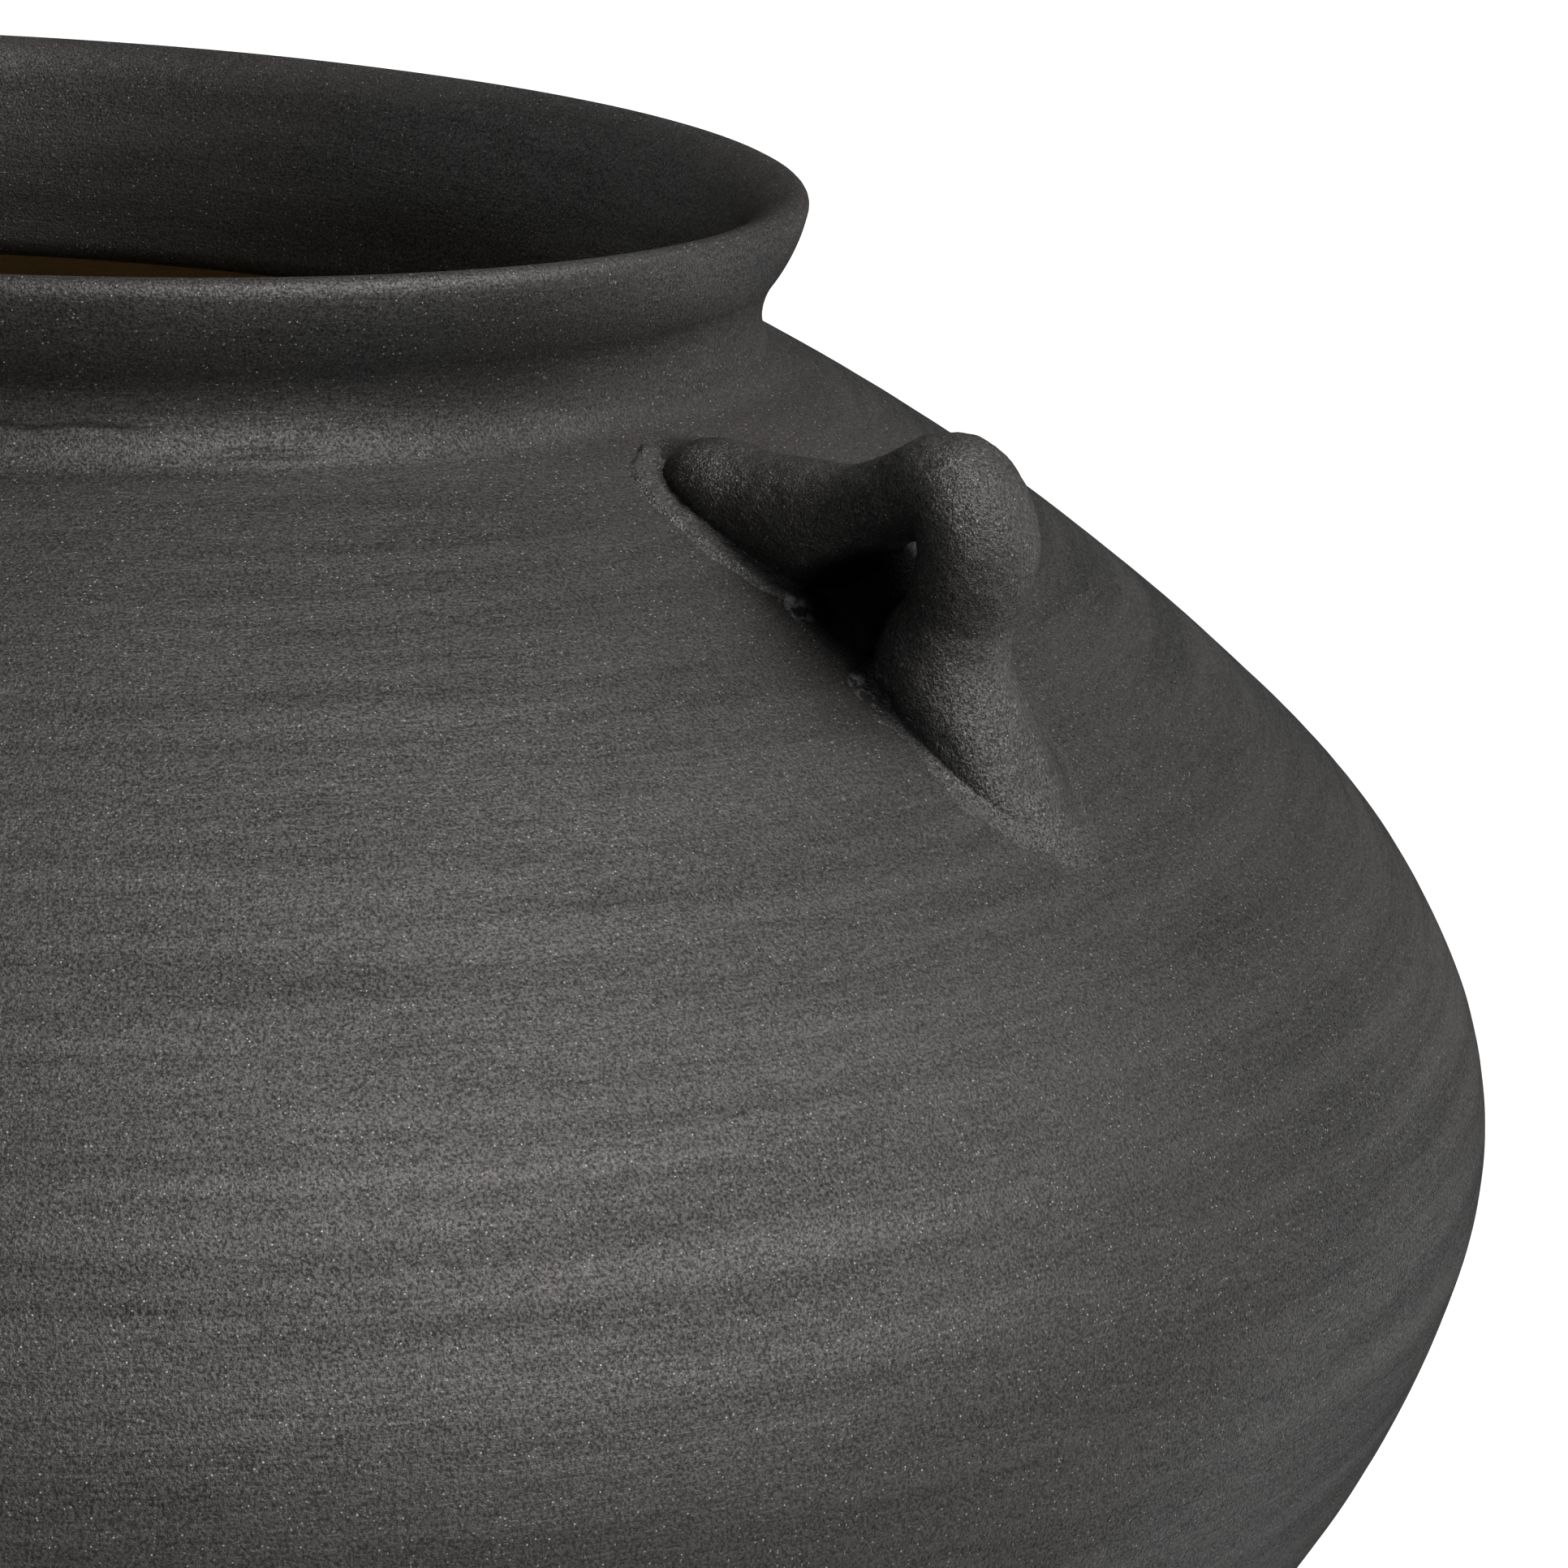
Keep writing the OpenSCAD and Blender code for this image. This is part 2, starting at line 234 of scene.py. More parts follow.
# ---------------------------------------------------------------- hand marks
def fade(x):
    return x * x * (3 - 2 * x)


def ramp(value, low, high):
    return fade(np.clip((value - low) / (high - low), 0, 1))


def skin_noise(theta, run, around, step, seed):
    """Smooth noise from -1 to 1 on the skin: the cells about the axis, and their length down the section."""
    table = np.random.default_rng(seed).uniform(-1, 1, (around, 1024))
    u, v = theta / (2 * math.pi) * around, run / step
    i, j = np.floor(u).astype(int), np.floor(v).astype(int)
    f, g = fade(u - i), fade(v - j)
    a, b = table[i % around, j % 1024], table[(i + 1) % around, j % 1024]
    c, d = table[i % around, (j + 1) % 1024], table[(i + 1) % around, (j + 1) % 1024]
    return (a * (1 - f) + b * f) * (1 - g) + (c * (1 - f) + d * f) * g


def space_noise(points, cell, seed):
    """Smooth noise from -1 to 1 in space, with cells of this size."""
    size = 64
    table = np.random.default_rng(seed).uniform(-1, 1, (size, size, size)).astype(np.float32)
    q = points / cell
    low = np.floor(q).astype(int)
    f = fade(q - low)
    total = np.zeros(len(points), np.float32)
    for corner in np.ndindex(2, 2, 2):
        weight = np.prod(np.where(corner, f, 1 - f), axis=1)
        at = (low + corner) % size
        total += weight * table[at[:, 0], at[:, 1], at[:, 2]]
    return total


def crack(theta, run):
    """Hairline cracks along the foot of the neck, as middle and half length in degrees, and drop."""
    angle = np.degrees(theta)
    depth = np.zeros_like(run + theta)
    for middle, half, drop, seed in ((-43.5, 7, 1.2, 71), (-29, 4.6, 4.6, 72), (118, 9, 2.0, 73)):
        line_run = CREASE_RUN - drop + 0.5 * skin_noise(theta, 0 * run, 220, 50, seed)
        off = (angle - middle + 180) % 360 - 180
        depth += 0.42 * ramp(half - abs(off), 0, 1.5) * np.exp(-((run - line_run) / 0.42) ** 2)
    return depth


def outer_marks(theta, run):
    """How far hands and wiping raised the outside, over where the frame has it."""
    swayed = run + 5 * skin_noise(theta, run, 5, 110, 11)
    body = ramp(run, FOOT_RUN - 10, FOOT_RUN + 15)
    rim = ramp(run, CREASE_RUN - 4, CREASE_RUN + 3)
    dents = 0.1 * skin_noise(theta, run, 8, 42, 13) * (1 - 0.6 * rim)
    slow = 0.3 * skin_noise(theta, run, 5, 160, 12) + dents
    ribs = 0.065 * skin_noise(theta, swayed, 6, 10, 14) + 0.04 * skin_noise(theta, swayed, 11, 5.5, 15)
    patches = 0.35 + 0.65 * ramp(skin_noise(theta, run, 9, 55, 16), -0.3, 0.5)
    strokes = 0.024 * skin_noise(theta, swayed, 26, 2.9, 17) + 0.016 * skin_noise(theta, swayed, 44, 1.9, 18)
    return body * (slow + ribs * (1 - 0.6 * rim) + strokes * patches) - crack(theta, run)


def inner_marks(theta, run):
    """Soft finger ridges left inside the body, and faint wiping in the throat."""
    inside = ramp(run, INSIDE_RUN, INSIDE_RUN + 12)
    swayed = run + 6 * skin_noise(theta, run, 4, 130, 21)
    throat = 0.1 * skin_noise(theta, run, 9, 30, 22) + 0.035 * skin_noise(theta, swayed, 20, 3.2, 23)
    fingers = 0.55 * skin_noise(theta, swayed, 5, 13, 24) + 0.3 * skin_noise(theta, run, 17, 30, 25)
    return throat * (1 - inside) + fingers * inside


def raw_marks(theta, run):
    over = ramp(run, CROWN_RUN, CROWN_RUN + 20)
    return outer_marks(theta, run) * (1 - over) + inner_marks(theta, run) * over


THETA = np.arange(AROUND) * 2 * math.pi / AROUND
MARKS = raw_marks(THETA[None, :], RUN[:, None])
# The outside never stands proud of the frame
TOP_MARK = MARKS[RUN < THROAT_RUN].max()


def marks(theta, run):
    """The marks, lowered on the outside so that the highest is at the frame's own surface."""
    centre = ramp(run, 5, FOOT_RUN) * ramp(RUN[-1] - run, 5, 60)
    return centre * (raw_marks(theta, run) - TOP_MARK * (1 - ramp(run, CROWN_RUN, CROWN_RUN + 25)))


def ring_grid():
    """Every point of the pot's skin with its marks: rows down the section, columns about the axis."""
    rise = marks(THETA[None, :], RUN[:, None])
    section = SKIN[:, None, :] + FACING[:, None, :] * rise[:, :, None]
    r, z = section[..., 0], section[..., 1]
    return np.stack([r * np.cos(THETA), r * np.sin(THETA), z], -1)


# ---------------------------------------------------------------- meshes
def make_piece(name, points, faces, materials, stands_for, face_material=None, sharp=None):
    """A smooth piece of the pot in metres, riding on its body in place of a CAD node."""
    mesh = bpy.data.meshes.new(name)
    mesh.from_pydata(points * MM, [], faces)
    mesh.update(calc_edges=True)
    for material in materials:
        mesh.materials.append(material)
    mesh.polygons.foreach_set("use_smooth", np.ones(len(mesh.polygons), bool))
    if face_material is not None:
        mesh.polygons.foreach_set("material_index", face_material)
    if sharp is not None:
        ends = np.empty(2 * len(mesh.edges), np.int32)
        mesh.edges.foreach_get("vertices", ends)
        ends = sharp[ends.reshape(-1, 2)]
        seam = (ends[:, 0] >= 0) & (ends[:, 0] == ends[:, 1])
        mesh.attributes.new("sharp_edge", "BOOLEAN", "EDGE").data.foreach_set("value", seam)
    piece = bpy.data.objects.new(name, mesh)
    bpy.context.scene.collection.objects.link(piece)
    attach(piece, "root")
    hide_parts(stands_for)


def between(grid, first, last, n=2):
    """Rows across a seam, from one row of the skin to another."""
    t = (np.arange(1, n + 1) / (n + 1))[:, None, None]
    return (1 - t) * grid[first] + t * grid[last]


def course(name, grid, spans, materials):
    """A closed course of the wall from spans of rows of the skin, joined across its seams. The first
    material is for the black clay, the second for the bare clay inside the body."""
    parts, kinds, corners = [], [], []
    for k, (first, last) in enumerate(spans):
        following = spans[(k + 1) % len(spans)][0]
        rows = np.arange(first, last + 1)
        parts.append(grid[rows])
        kinds += [1 if RUN[row] > INSIDE_RUN else 0 for row in rows]
        corners += [rows[0]] + [-1] * (len(rows) - 2) + [rows[-1]]
        if not (last == len(grid) - 1 and following == 0):
            parts.append(between(grid, last, following))
            kinds += [kinds[-1]] * 2
            corners += [-1, -1]
    stack = np.concatenate(parts)
    kinds, corners = np.array(kinds), np.array(corners)
    has_poles = spans[0][0] == 0
    n_rows, n = len(stack), stack.shape[1]
    number = np.arange(n_rows * n).reshape(n_rows, n)
    points = stack.reshape(-1, 3)
    if has_poles:
        corners[(corners == 0) | (corners == len(grid) - 1)] = -1
    last_row = n_rows - 1 if has_poles else n_rows
    faces, face_kind = [], []
    for row in range(last_row):
        a, b = number[row], number[(row + 1) % n_rows]
        quads = np.stack([a, np.roll(a, -1), np.roll(b, -1), b], 1)
        if has_poles and row == 0:
            quads = np.stack([np.full(n, number[0, 0]), np.roll(b, -1), b], 1)
        elif has_poles and row == last_row - 1:
            quads = np.stack([a, np.roll(a, -1), np.full(n, number[-1, 0])], 1)
        faces += quads.tolist()
        face_kind += [max(kinds[row], kinds[(row + 1) % n_rows])] * n
    row_id = np.repeat(corners, n)
    if has_poles:
        keep = np.ones(len(points), bool)
        keep[number[0, 1:]] = keep[number[-1, 1:]] = False
        renumber = np.cumsum(keep) - 1
        points, row_id = points[keep], row_id[keep]
        faces = [[int(renumber[v]) for v in face] for face in faces]
    make_piece(name + "_clay", points, faces, materials, name, np.array(face_kind), row_id)


def build_courses(materials):
    grid = ring_grid()
    top = len(RUN) - 1
    out_base, in_base = row_of(outer_point(BASE_SEAM[0])), row_of(inner_point(BASE_SEAM[1]))
    out_lower, in_lower = row_of(outer_point(LOWER_SEAM[0])), row_of(inner_point(LOWER_SEAM[1]))
    out_belly, in_belly = row_of(outer_point(BELLY_SEAM[0])), row_of(inner_point(BELLY_SEAM[1]))
    out_collar = row_of(crease_point(COLLAR_SEAM_SLOPE))
    in_collar = row_of((THROAT_RADIUS, CROWN - COLLAR_SEAM_DEPTH))
    out_rim = row_of(rim_centers[0] + RIM_ARCS[0][0] * toward(-FLARE_LEAN))
    in_rim = row_of(rim_centers[-1] + RIM_ARCS[-1][0] * toward(RIM_SEAM_INNER))
    spans = {
        "base_slab": [(0, out_base), (in_base, top)],
        "lower_wall": [(out_base, out_lower), (in_lower, in_base)],
        "belly_wall": [(out_lower, out_belly), (in_belly, in_lower)],
        "shoulder_wall": [(out_belly, out_collar), (in_collar, in_belly)],
        "neck_collar": [(out_collar, out_rim), (in_rim, in_collar)],
        "rim_coil": [(out_rim, in_rim)],
    }
    for name, rows in spans.items():
        course(name, grid, rows, materials)


# ---------------------------------------------------------------- handles
def catmull_rom(stations, pieces):
    """Points on the smooth curve through the stations."""
    s = np.array(stations, float)
    s = np.concatenate([[2 * s[0] - s[1]], s, [2 * s[-1] - s[-2]]])
    t = (np.arange(pieces) / pieces)[:, None]
    found = []
    for a, b, c, d in zip(s, s[1:], s[2:], s[3:]):
        found.append(0.5 * (2 * b + (c - a) * t + (2 * a - 5 * b + 4 * c - d) * t ** 2
                            + (3 * b - a - 3 * c + d) * t ** 3))
    return np.concatenate(found + [s[-2:-1]])


def smooth_min(a, b, reach):
    h = np.clip(reach - abs(a - b), 0, None) / reach
    return np.minimum(a, b) - h * h * reach / 4


class Handle:
    """One loop of clay as a distance field in its own frame: X outward, Y across, Z up."""

    def __init__(self, side, seed):
        self.side, self.seed = side, seed
        self.angle = math.radians(HANDLE_ANGLES[side])
        rng = np.random.default_rng(seed)
        change = np.zeros((len(STATIONS), 4)) if side == "right" else rng.uniform(-1, 1, (len(STATIONS), 4))
        inner = np.ones((len(STATIONS), 1))
        inner[:2] = inner[-2:] = 0.3
        self.curve = catmull_rom(np.array(STATIONS) + change * inner * (0.7, 0.7, 0.7, 0.5), 12)
        self.lean = 0 if side == "right" else rng.uniform(-0.05, 0.05)

    def turned(self, points):
        """Points of the handle's own frame in the pot's frame."""
        c, s = math.cos(self.angle), math.sin(self.angle)
        return points @ np.array([[c, s, 0], [-s, c, 0], [0, 0, 1]])

    def ground(self, points):
        """Height above the shoulder as it really is, with its marks."""
        r = np.hypot(points[:, 0], points[:, 1])
        d = np.stack([r, points[:, 2]], -1) - CENTERS[0]
        reach = np.linalg.norm(d, axis=1)
        height = reach - RADII[0]
        near = abs(height) < 4
        slope = np.degrees(np.arctan2(d[near, 0], d[near, 1]))
        theta = np.arctan2(points[near, 1], points[near, 0]) + self.angle
        run = SHOULDER_RUN - np.radians(slope - SHOULDER_SLOPE) * RADII[0]
        height[near] -= marks(theta, run)
        return height

    def section(self, x, z):
        """Gap to the loop in its own plane, and the half width and half thickness of the clay there."""
        blur = 0.9
        center_x, depth, width, thick = self.curve.T
        gaps = np.hypot(x[:, None] - center_x, z[:, None] - CROWN + depth) - thick / 2
        gap = gaps.min(1)
        weights = np.exp((gap[:, None] - gaps) / blur)
        weights /= weights.sum(1)[:, None]
        return gap, weights @ width / 2, weights @ thick / 2

    def sweep(self, x, y, z, section):
        """Distance to the loop of clay alone, leaning to one side, from its section in its own plane."""
        above_feet = FEET_COSINE * (z - CROWN + FEET_DEPTH + FEET_DROP * (x - FEET_OUT))
        gap, half_width, half_thick = section
        y = y - self.lean * (z - CROWN + 40) + SIDE_LEAN * (above_feet - LEAN_HEIGHT)
        across, through = y / half_width, np.clip(gap + half_thick, 0, None) / half_thick
        k0 = np.sqrt(across ** 2 + through ** 2) + 1e-9
        k1 = np.sqrt((across / half_width) ** 2 + (through / half_thick) ** 2) + 1e-9
        return k0 * (k0 - 1) / k1

    def sweep_at(self, points):
        x, y, z = points.T
        return self.sweep(x, y, z, self.section(x, z))

    def reach(self, points):
        """How widely the clay is smeared into the shoulder: hardly on one side, widely on the other."""
        x, y = points[:, 0], points[:, 1]
        tip = 0.5 * np.maximum(ramp(x, 184, 191), ramp(134 - x, 0, 5))
        under = ramp(x, 146, 154) * ramp(180 - x, 0, 8) * ramp(13 - y, 0, 5)
        side = 7.4 * ramp(y, -3, 3.5) * (1 - 0.45 * ramp(x, 184, 191))
        return 0.7 + np.maximum(side, 7.4 * tip * ramp(y, -6, 1)) + 8 * under * ramp(y, -1, 5)

    def field(self, points, swept):
        """Distance to the handle with its feet grown into the shoulder, given that to the loop alone."""
        height = self.ground(points)
        turned = self.turned(points)
        band = (abs(swept) < 3) & (height > -2)
        free = ramp(height[band], 0.3, 3.5)
        lumps = (0.32 * space_noise(turned[band], 9, 31) + 0.16 * space_noise(turned[band], 4, 32)) * free
        grit = 0.11 * space_noise(turned[band], 1.3, 33) + 0.08 * space_noise(turned[band], 0.85, 34)
        swept[band] += lumps + grit * (0.25 + 0.75 * free)
        reach = self.reach(points)
        joined = smooth_min(swept, height + 0.02, reach)
        out, across, depth = WEDGE_PLACE
        offset = (points - (out, across, CROWN - depth)) / WEDGE_SIZE
        wedge = (np.linalg.norm(offset, axis=1) - 1) * min(WEDGE_SIZE)
        joined = smooth_min(joined, wedge, 3)
        skirt = np.maximum(-1.5 - height, swept - reach - 0.8)
        return np.maximum(joined, skirt)


def surface_net(field, origin, step):
    """Points and quads of the surface where a field on a grid is zero. It is negative inside."""
    inside = field < 0
    a, b, c = np.array(field.shape) - 1
    count = sum(inside[i:i + a, j:j + b, k:k + c].astype(np.int8) for i, j, k in np.ndindex(2, 2, 2))
    cells = np.argwhere((count > 0) & (count < 8))
    number = np.full(count.shape, -1, np.int64)
    number[tuple(cells.T)] = np.arange(len(cells))
    total, hits = np.zeros((len(cells), 3)), np.zeros(len(cells))
    faces = []
    for axis in range(3):
        unit = np.eye(3, dtype=int)[axis]
        others = [a for a in range(3) if a != axis]
        for offset in np.ndindex(2, 2):
            low = cells.copy()
            low[:, others[0]] += offset[0]
            low[:, others[1]] += offset[1]
            a, b = field[tuple(low.T)], field[tuple((low + unit).T)]
            cut = (a < 0) != (b < 0)
            total[cut] += low[cut] + (a[cut] / (a[cut] - b[cut]))[:, None] * unit
            hits += cut
        near = [slice(1, None)] * 3
        near[axis] = slice(0, -1)
        far = [slice(1, None)] * 3
        edges = np.argwhere(inside[tuple(near)] != inside[tuple(far)])
        edges[:, others[0]] += 1
        edges[:, others[1]] += 1
        keep = np.all(edges < np.array(count.shape), axis=1)
        edges = edges[keep]
        b, c = np.eye(3, dtype=int)[others[0]], np.eye(3, dtype=int)[others[1]]
        quad = np.stack([number[tuple(e.T)] for e in (edges, edges - b, edges - b - c, edges - c)], 1)
        outward = inside[tuple(edges.T)] != (axis == 1)
        faces.append(np.where(outward[:, None], quad, quad[:, ::-1]))
    return origin + total / hits[:, None] * step, np.concatenate(faces)


def pits_of(handle):
    """Small holes at the undercut side of the lower foot: place in the handle's frame, and radius.
    Only the right handle's open at the surface. The others' end up closed inside the clay."""
    if handle.side == "right":
        return [((168.4, -7.4, 273), 1.3), ((168.4, -9, 273), 1.2),
                ((172.2, -8.2, 270), 0.9), ((172.2, -9.6, 270), 0.8)]
    rng = np.random.default_rng(handle.seed + 5)
    return [((x, -6.6, CROWN + 120 - x), r) for x, r in zip(rng.uniform(164, 176, 2), (1.2, 0.8))]


def build_handle(handle, material):
    low, high = np.array(HANDLE_BOX, float)
    x, y, z = [np.arange(low[a], high[a], HANDLE_STEP) for a in range(3)]
    plane_x, plane_z = np.meshgrid(x, z, indexing="ij")
    section = [part.reshape(len(x), 1, len(z)) for part in handle.section(plane_x.ravel(), plane_z.ravel())]
    field = handle.sweep(x[:, None, None], y[None, :, None], z[None, None, :], section)
    near = field < SCULPTED_REACH
    points = np.stack(np.meshgrid(x, y, z, indexing="ij"), -1)[near]
    field[near] = handle.field(points, field[near])
    for place, radius in pits_of(handle):
        field[near] = np.maximum(field[near], radius - np.linalg.norm(points - place, axis=1))
    points, faces = surface_net(field, low, HANDLE_STEP)
    name = f"handle_{handle.side}"
    make_piece(name + "_clay", handle.turned(points), faces.tolist(), [material], name)


# ---------------------------------------------------------------- luting
def build_luting(handle, where, material):
    """The dab of slip under one foot: a rough raised skin on the shoulder, thin where it was smeared out."""
    slope, half_length, half_width, reach, unevenness, tall = LUTINGS[where]
    n, m = int(2 * half_length / LUTING_STEP), int(2 * half_width / LUTING_STEP)
    along = np.linspace(-half_length, half_length, n)
    across = np.linspace(-half_width, half_width, m)
    slopes = slope + np.degrees(along / RADII[0])
    section = CENTERS[0] + RADII[0] * away(slopes)
    a, c = np.meshgrid(np.arange(n), across, indexing="ij")
    r, z = section[a, 0], section[a, 1]
    theta = c / r
    run = SHOULDER_RUN - np.radians(slopes - SHOULDER_SLOPE)[a] * RADII[0]
    lift = marks(theta + handle.angle, run)
    out = away(slopes)[a]
    base = np.stack([r, z], -1) + out * lift[..., None]

    def place(height):
        rr, zz = (base + out * height[..., None])[..., 0], (base + out * height[..., None])[..., 1]
        return np.stack([rr * np.cos(theta), rr * np.sin(theta), zz], -1)

    flat = place(np.zeros_like(r)).reshape(-1, 3)
    gap = handle.sweep_at(flat).reshape(n, m)
    turned = handle.turned(flat)
    fine = (space_noise(turned, 1.3, 41) + 0.8 * space_noise(turned, 0.7, 42)).reshape(n, m)
    edge = space_noise(turned, 5, 43).reshape(n, m)
    undercut = ramp(-c, -2, 3)
    width = reach + unevenness * edge
    band = undercut * ramp(1 - gap / width, 0, 0.2)
    smear = 0.22 * np.exp(-np.clip(gap, 0, None) / 5) * (1 + edge)
    rim = np.minimum(1, np.minimum(half_length - abs(along)[a], half_width - abs(c)) / 3)
    fillet = 0.5 * undercut * np.exp(-np.clip(gap, 0, None) / 0.7)
    raised = tall * band * (1 + 0.2 * fine) + fillet + smear * (0.6 + 0.25 * fine)
    height = raised * rim - LUTING_SUNK - 0.3 * (1 - rim)
    top, bottom = place(height), place(height - LUTING_THICK)
    shown = height > LUTING_CUT
    solid = shown[:-1, :-1] & shown[1:, :-1] & shown[:-1, 1:] & shown[1:, 1:]
    number = np.arange(n * m).reshape(n, m)
    quads = np.stack([number[:-1, :-1], number[1:, :-1], number[1:, 1:], number[:-1, 1:]], -1)[solid]
    edges = np.concatenate([quads[:, [k, (k + 1) % 4]] for k in range(4)])
    keys = edges[:, 0] * n * m + edges[:, 1]
    lonely = ~np.isin(keys, edges[:, 1] * n * m + edges[:, 0])
    start, end = edges[lonely].T
    sides = np.stack([end, start, start + n * m, end + n * m], 1)
    faces = np.concatenate([quads, quads[:, ::-1] + n * m, sides])
    points = np.concatenate([top.reshape(-1, 3), bottom.reshape(-1, 3)])
    used = np.unique(faces)
    renumber = np.zeros(len(points), int)
    renumber[used] = np.arange(len(used))
    name = f"{where}_luting_{handle.side}"
    make_piece(name + "_slip", handle.turned(points[used]), renumber[faces].tolist(), [material],
               name)


# ---------------------------------------------------------------- materials
class Nodes:
    """Short calls for building a material's node tree."""

    def __init__(self, name):
        self.material = bpy.data.materials.new(name)
        self.material.use_nodes = True
        self.tree = self.material.node_tree
        self.shader = self.tree.nodes["Principled BSDF"]

    def link(self, value, socket):
        if isinstance(value, bpy.types.NodeSocket):
            self.tree.links.new(value, socket)
        else:
            socket.default_value = value

    def add(self, kind, **values):
        node = self.tree.nodes.new(kind)
        for key, value in values.items():
            setattr(node, key, value)
        return node

    def math(self, operation, a, b=0.0, c=0.0):
        node = self.add("ShaderNodeMath", operation=operation)
        for socket, value in zip(node.inputs, (a, b, c)):
            self.link(value, socket)
        return node.outputs[0]

    def span(self, value, low, high, to_low=0.0, to_high=1.0):
        node = self.add("ShaderNodeMapRange")
        keys = ("Value", "From Min", "From Max", "To Min", "To Max")
        for key, item in zip(keys, (value, low, high, to_low, to_high)):
            self.link(item, node.inputs[key])
        return node.outputs["Result"]

    def noise(self, vector, scale, detail=2.0, roughness=0.5):
        node = self.add("ShaderNodeTexNoise")
        for key, item in (("Vector", vector), ("Scale", scale), ("Detail", detail), ("Roughness", roughness)):
            self.link(item, node.inputs[key])
        return node.outputs["Fac"]

    def mix(self, factor, a, b, blend="MIX"):
        node = self.add("ShaderNodeMix", data_type="RGBA", blend_type=blend)
        for key, item in ((0, factor), (6, a), (7, b)):
            self.link(item, node.inputs[key])
        return node.outputs[2]

    def bump(self, height, distance, strength=1.0, normal=None):
        node = self.add("ShaderNodeBump")
        self.link(strength, node.inputs["Strength"])
        self.link(distance, node.inputs["Distance"])
        self.link(height, node.inputs["Height"])
        if normal is not None:
            self.link(normal, node.inputs["Normal"])
        return node.outputs["Normal"]

    def place(self):
        return self.add("ShaderNodeTexCoord").outputs["Object"]

    def stroke_vector(self, place, around, along):
        """Coordinates on the pot's skin that stretch a noise into strokes about the axis."""
        xyz = self.add("ShaderNodeSeparateXYZ")
        self.link(place, xyz.inputs[0])
        x, y, z = xyz.outputs
        square = self.math("ADD", self.math("MULTIPLY", x, x), self.math("MULTIPLY_ADD", y, y, 1e-6))
        r = self.math("SQRT", square)
        run = self.math("MULTIPLY_ADD", r, -0.6, z)
        vector = self.add("ShaderNodeCombineXYZ")
        self.link(self.math("MULTIPLY", self.math("DIVIDE", x, r), around), vector.inputs[0])
        self.link(self.math("MULTIPLY", self.math("DIVIDE", y, r), around), vector.inputs[1])
        self.link(self.math("MULTIPLY", run, along), vector.inputs[2])
        return vector.outputs[0]


def near_handles(n, place, middle, reach):
    """1 about one place at every handle and at its mirror place, fading to 0 at this reach."""
    xyz = n.add("ShaderNodeSeparateXYZ")
    n.link(place, xyz.inputs[0])
    x, y = n.math("ABSOLUTE", xyz.outputs[0]), n.math("ABSOLUTE", xyz.outputs[1])
    offset = n.add("ShaderNodeCombineXYZ")
    own_frame = (n.math("MAXIMUM", x, y), n.math("MINIMUM", x, y), xyz.outputs[2])
    for value, center, size, socket in zip(own_frame, middle, reach, offset.inputs):
        n.link(n.math("DIVIDE", n.math("SUBTRACT", value, center * MM), size * MM), socket)
    length = n.add("ShaderNodeVectorMath", operation="LENGTH")
    n.link(offset.outputs[0], length.inputs[0])
    return n.span(length.outputs["Value"], 0.7, 1.0, 1, 0)


# Colours are darker than real clay's, because the studio is lit for a white floor
PALE_SLIP = (0.065, 0.065, 0.067)
# Near-black painted shade for the pocket under each loop, where the loop's shadow falls
POCKET_PAINTED_SHADE = (0.0015, 0.0015, 0.0015)
# Painted glints: the colour of the few chosen bright grains
PAINTED_GLINT = (0.16, 0.156, 0.148)
WARM_SHEEN = (1.0, 0.965, 0.945)
GRAINS_PER_METRE = 2100.0


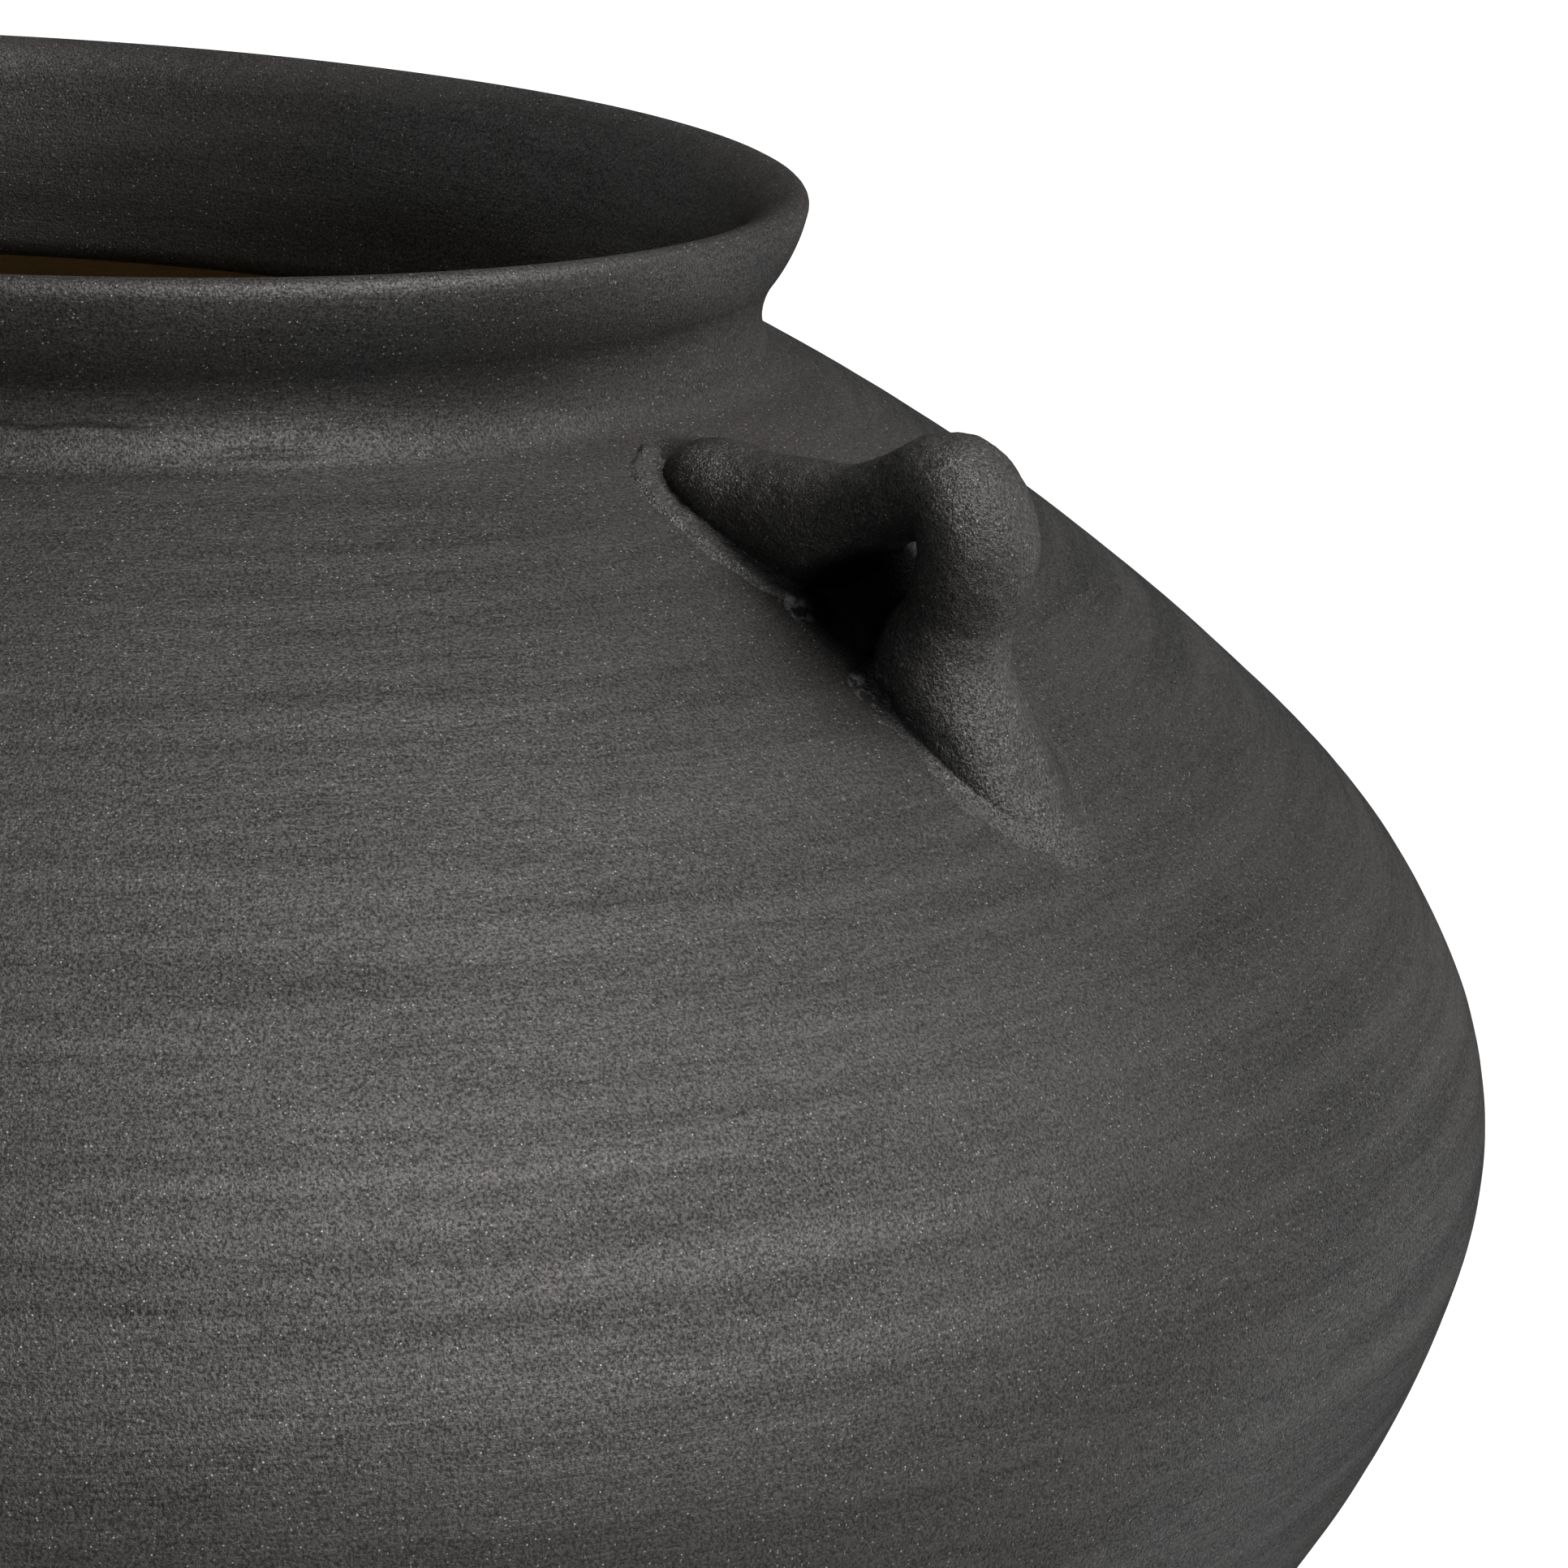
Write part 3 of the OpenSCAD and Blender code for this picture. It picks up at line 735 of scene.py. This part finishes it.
def clay(name, dark, light, tint, grit, strokes, roughness, glints, gloss_level):
    """Unglazed fired clay: mottled, wiped in strokes about the axis, with grit, with glints painted into its
    colour on a few bright grains, and with painted shade in the pocket under each loop.
    """
    n = Nodes(name)
    place = n.place()
    mottle = n.noise(place, 22, 3, 0.6)
    warm = n.noise(place, 9, 2)
    wide = n.noise(n.stroke_vector(place, 2.6, 210), 1, 3, 0.55)
    narrow = n.noise(n.stroke_vector(place, 34, 2200), 1, 2, 0.6)
    grain = n.noise(place, 2400, 2, 0.8)
    coarse = n.noise(place, 520, 2, 0.6)
    stroke = n.math("ADD", n.math("MULTIPLY", wide, 0.62), n.math("MULTIPLY", narrow, 0.38))

    tone = n.math("ADD", n.math("MULTIPLY", n.span(mottle, 0.3, 0.7), 0.2),
                  n.math("MULTIPLY", n.span(stroke, 0.38, 0.62), 0.42 * strokes))
    tone = n.math("ADD", tone, n.math("MULTIPLY", n.span(grain, 0.35, 0.65), 0.5))
    color = n.mix(tone, (*dark, 1), (*light, 1))
    color = n.mix(n.span(warm, 0.45, 0.75, 0, 0.7), color, (*tint, 1))

    # Painted glints: one grain in each cell, and only the few chosen ones are painted bright as glints
    cells = n.add("ShaderNodeTexVoronoi", feature="F1")
    n.link(place, cells.inputs["Vector"])
    n.link(GRAINS_PER_METRE, cells.inputs["Scale"])
    pick = n.add("ShaderNodeSeparateColor")
    n.link(cells.outputs["Color"], pick.inputs[0])
    chosen = n.math("GREATER_THAN", pick.outputs[0], 1 - glints)
    spot = n.math("MULTIPLY", n.span(cells.outputs["Distance"], 0.14, 0.3, 1, 0), chosen)
    shine = n.math("MULTIPLY", spot, n.math("POWER", pick.outputs[1], 3.5))
    color = n.mix(shine, color, (*PAINTED_GLINT, 1))

    # Pale slip smeared at the mouth of each loop, and near-black painted shade in the pocket under it, where
    # the loop's shadow falls
    blots = n.span(coarse, 0.5, 0.6)
    for middle, reach in SMEARS:
        smear = n.math("MULTIPLY", near_handles(n, place, middle, reach), blots)
        color = n.mix(smear, color, (*PALE_SLIP, 1))
    pocket_shade = near_handles(n, place, *POCKET)
    color = n.mix(pocket_shade, color, (*POCKET_PAINTED_SHADE, 1))

    n.link(color, n.shader.inputs["Base Color"])
    # Gloss varies with the grain and the strokes, and fades at grazing angles and in the pocket's painted
    # shade
    level = n.math("MULTIPLY", n.span(pocket_shade, 0, 1, gloss_level, 0.02), n.span(grain, 0.38, 0.62, 0.4, 1.6))
    level = n.math("MULTIPLY", level, n.span(stroke, 0.4, 0.6, 1 - 0.09 * strokes, 1 + 0.09 * strokes))
    gloss = n.math("ADD", n.span(stroke, 0.35, 0.65, 0.06, -0.06), n.span(grain, 0.3, 0.7, 0.08, -0.08))
    edge = n.add("ShaderNodeLayerWeight")
    n.link(0.5, edge.inputs["Blend"])
    grazing = n.math("POWER", edge.outputs["Facing"], 3.0)
    gloss = n.math("MULTIPLY_ADD", grazing, 0.45, gloss)
    n.link(n.math("ADD", gloss, roughness), n.shader.inputs["Roughness"])
    n.link(n.math("MULTIPLY", level, n.span(grazing, 0, 1, 1, 0.2)), n.shader.inputs["Specular IOR Level"])
    n.link((*WARM_SHEEN, 1), n.shader.inputs["Specular Tint"])

    # Relief too small for the mesh: wiping strokes, coarse grit and fine grain
    normal = n.bump(stroke, 0.0002 * strokes)
    normal = n.bump(coarse, 0.00003 * grit ** 2, normal=normal)
    normal = n.bump(grain, 0.00015 * grit, normal=normal)
    n.link(normal, n.shader.inputs["Normal"])
    return n.material


def make_materials():
    black = clay("black_clay_sandy", dark=(0.001, 0.00097, 0.00095), light=(0.012, 0.0116, 0.0113),
                 tint=(0.0098, 0.0082, 0.0074), grit=1.0, strokes=1.0, roughness=0.5, glints=0.4,
                 gloss_level=0.2)
    handle = clay("black_clay_handle", dark=(0.001, 0.00097, 0.00095), light=(0.0115, 0.0112, 0.011),
                  tint=(0.0095, 0.0082, 0.0075), grit=2.3, strokes=0.5, roughness=0.41, glints=0.5,
                  gloss_level=0.31)
    slip = clay("luting_slip_rough", dark=(0.0015, 0.0015, 0.0015), light=(0.019, 0.019, 0.019),
                tint=(0.0115, 0.0108, 0.0103), grit=2.6, strokes=0.2, roughness=0.44, glints=0.6,
                gloss_level=0.32)
    inside = clay("bare_clay_inside", dark=(0.14, 0.107, 0.06), light=(0.27, 0.206, 0.116),
                  tint=(0.24, 0.176, 0.094), grit=1.2, strokes=0.6, roughness=0.7, glints=0.05,
                  gloss_level=0.2)
    return black, handle, slip, inside


# ---------------------------------------------------------------- the studio
# The camera's place and directions in the pot's frame, at the angle of the photo
CAMERA_PLACE = (513.42, -570.21, 430.65)
CAMERA_FORWARD = (-0.51896, 0.81568, -0.25563)
CAMERA_RIGHT = (0.833, 0.54969, 0.06289)
SENSOR, LENS = 36, 117.39


def make_camera():
    camera = bpy.data.objects.new("camera", bpy.data.cameras.new("camera"))
    camera.data.sensor_width = SENSOR
    camera.data.lens = LENS
    forward = Vector(CAMERA_FORWARD)
    right = Vector(CAMERA_RIGHT).normalized()
    up = right.cross(forward).normalized()
    turn = Matrix((right, up, -forward.normalized())).transposed().to_4x4()
    camera.matrix_world = Matrix.Translation(Vector(CAMERA_PLACE) * MM) @ turn
    bpy.context.scene.collection.objects.link(camera)
    bpy.context.scene.camera = camera


FLOOR_NEAR, FLOOR_FAR = (0.43, 0.43, 0.43), (0.61, 0.61, 0.61)


def make_floor():
    """A plain pale floor, a little paler far from the pot, where less light falls."""
    half, cells = 16.0, 8
    mesh = bpy.data.meshes.new("floor")
    ticks = np.linspace(-half, half, cells + 1)
    points = [(x, y, 0) for x in ticks for y in ticks]
    row = cells + 1
    faces = [(k, k + row, k + row + 1, k + 1) for i in range(cells) for k in range(i * row, i * row + cells)]
    mesh.from_pydata(points, [], faces)
    floor = bpy.data.objects.new("floor", mesh)
    bpy.context.scene.collection.objects.link(floor)
    n = Nodes("studio_floor")
    distance = n.add("ShaderNodeVectorMath", operation="LENGTH")
    n.link(n.place(), distance.inputs[0])
    far = n.span(distance.outputs["Value"], 0.6, 2.6)
    n.link(n.mix(far, (*FLOOR_NEAR, 1), (*FLOOR_FAR, 1)), n.shader.inputs["Base Color"])
    n.link(0.9, n.shader.inputs["Roughness"])
    n.link(0.1, n.shader.inputs["Specular IOR Level"])
    mesh.materials.append(n.material)


# Distance and size of every soft box, and the point it is aimed at, in metres
BOX_DISTANCE, BOX_SIZE, TARGET = 8, 4.4, (0, 0, 0.2)
# Azimuth from the pot's +X towards +Y, elevation and power of each soft box
LIGHTS = {
    "key": (4, 36, 1050),
    "top": (20, 65, 1000),
    "right": (45, 40, 130),
    "left": (-130, 32, 60),
    "rim": (-165, 10, 120),
    "front": (-62, 20, 45),
    "low": (-8, 16, 270),
}
WORLD_STRENGTH = 0.25


def add_light(name, azimuth, elevation, power):
    """A square soft box."""
    data = bpy.data.lights.new(name, "AREA")
    data.size = BOX_SIZE
    data.energy = power
    light = bpy.data.objects.new(name, data)
    a, e = math.radians(azimuth), math.radians(elevation)
    aim = Vector((math.cos(a) * math.cos(e), math.sin(a) * math.cos(e), math.sin(e)))
    light.location = Vector(TARGET) + aim * BOX_DISTANCE
    light.rotation_euler = aim.to_track_quat("Z", "Y").to_euler()
    bpy.context.scene.collection.objects.link(light)


def light_studio():
    world = bpy.data.worlds.new("studio")
    world.use_nodes = True
    background = world.node_tree.nodes["Background"]
    background.inputs["Color"].default_value = (1, 1, 1, 1)
    background.inputs["Strength"].default_value = WORLD_STRENGTH
    bpy.context.scene.world = world
    for name, values in LIGHTS.items():
        add_light(name, *values)
    bpy.context.scene.view_settings.view_transform = "Standard"


# ---------------------------------------------------------------- put together
make_camera()
make_floor()
light_studio()
black_clay, handle_clay, rough_slip, inside_clay = make_materials()
build_courses([black_clay, inside_clay])
for seed, side in enumerate(HANDLE_ANGLES, start=101):
    loop = Handle(side, seed)
    build_handle(loop, handle_clay)
    for where in LUTINGS:
        build_luting(loop, where, rough_slip)
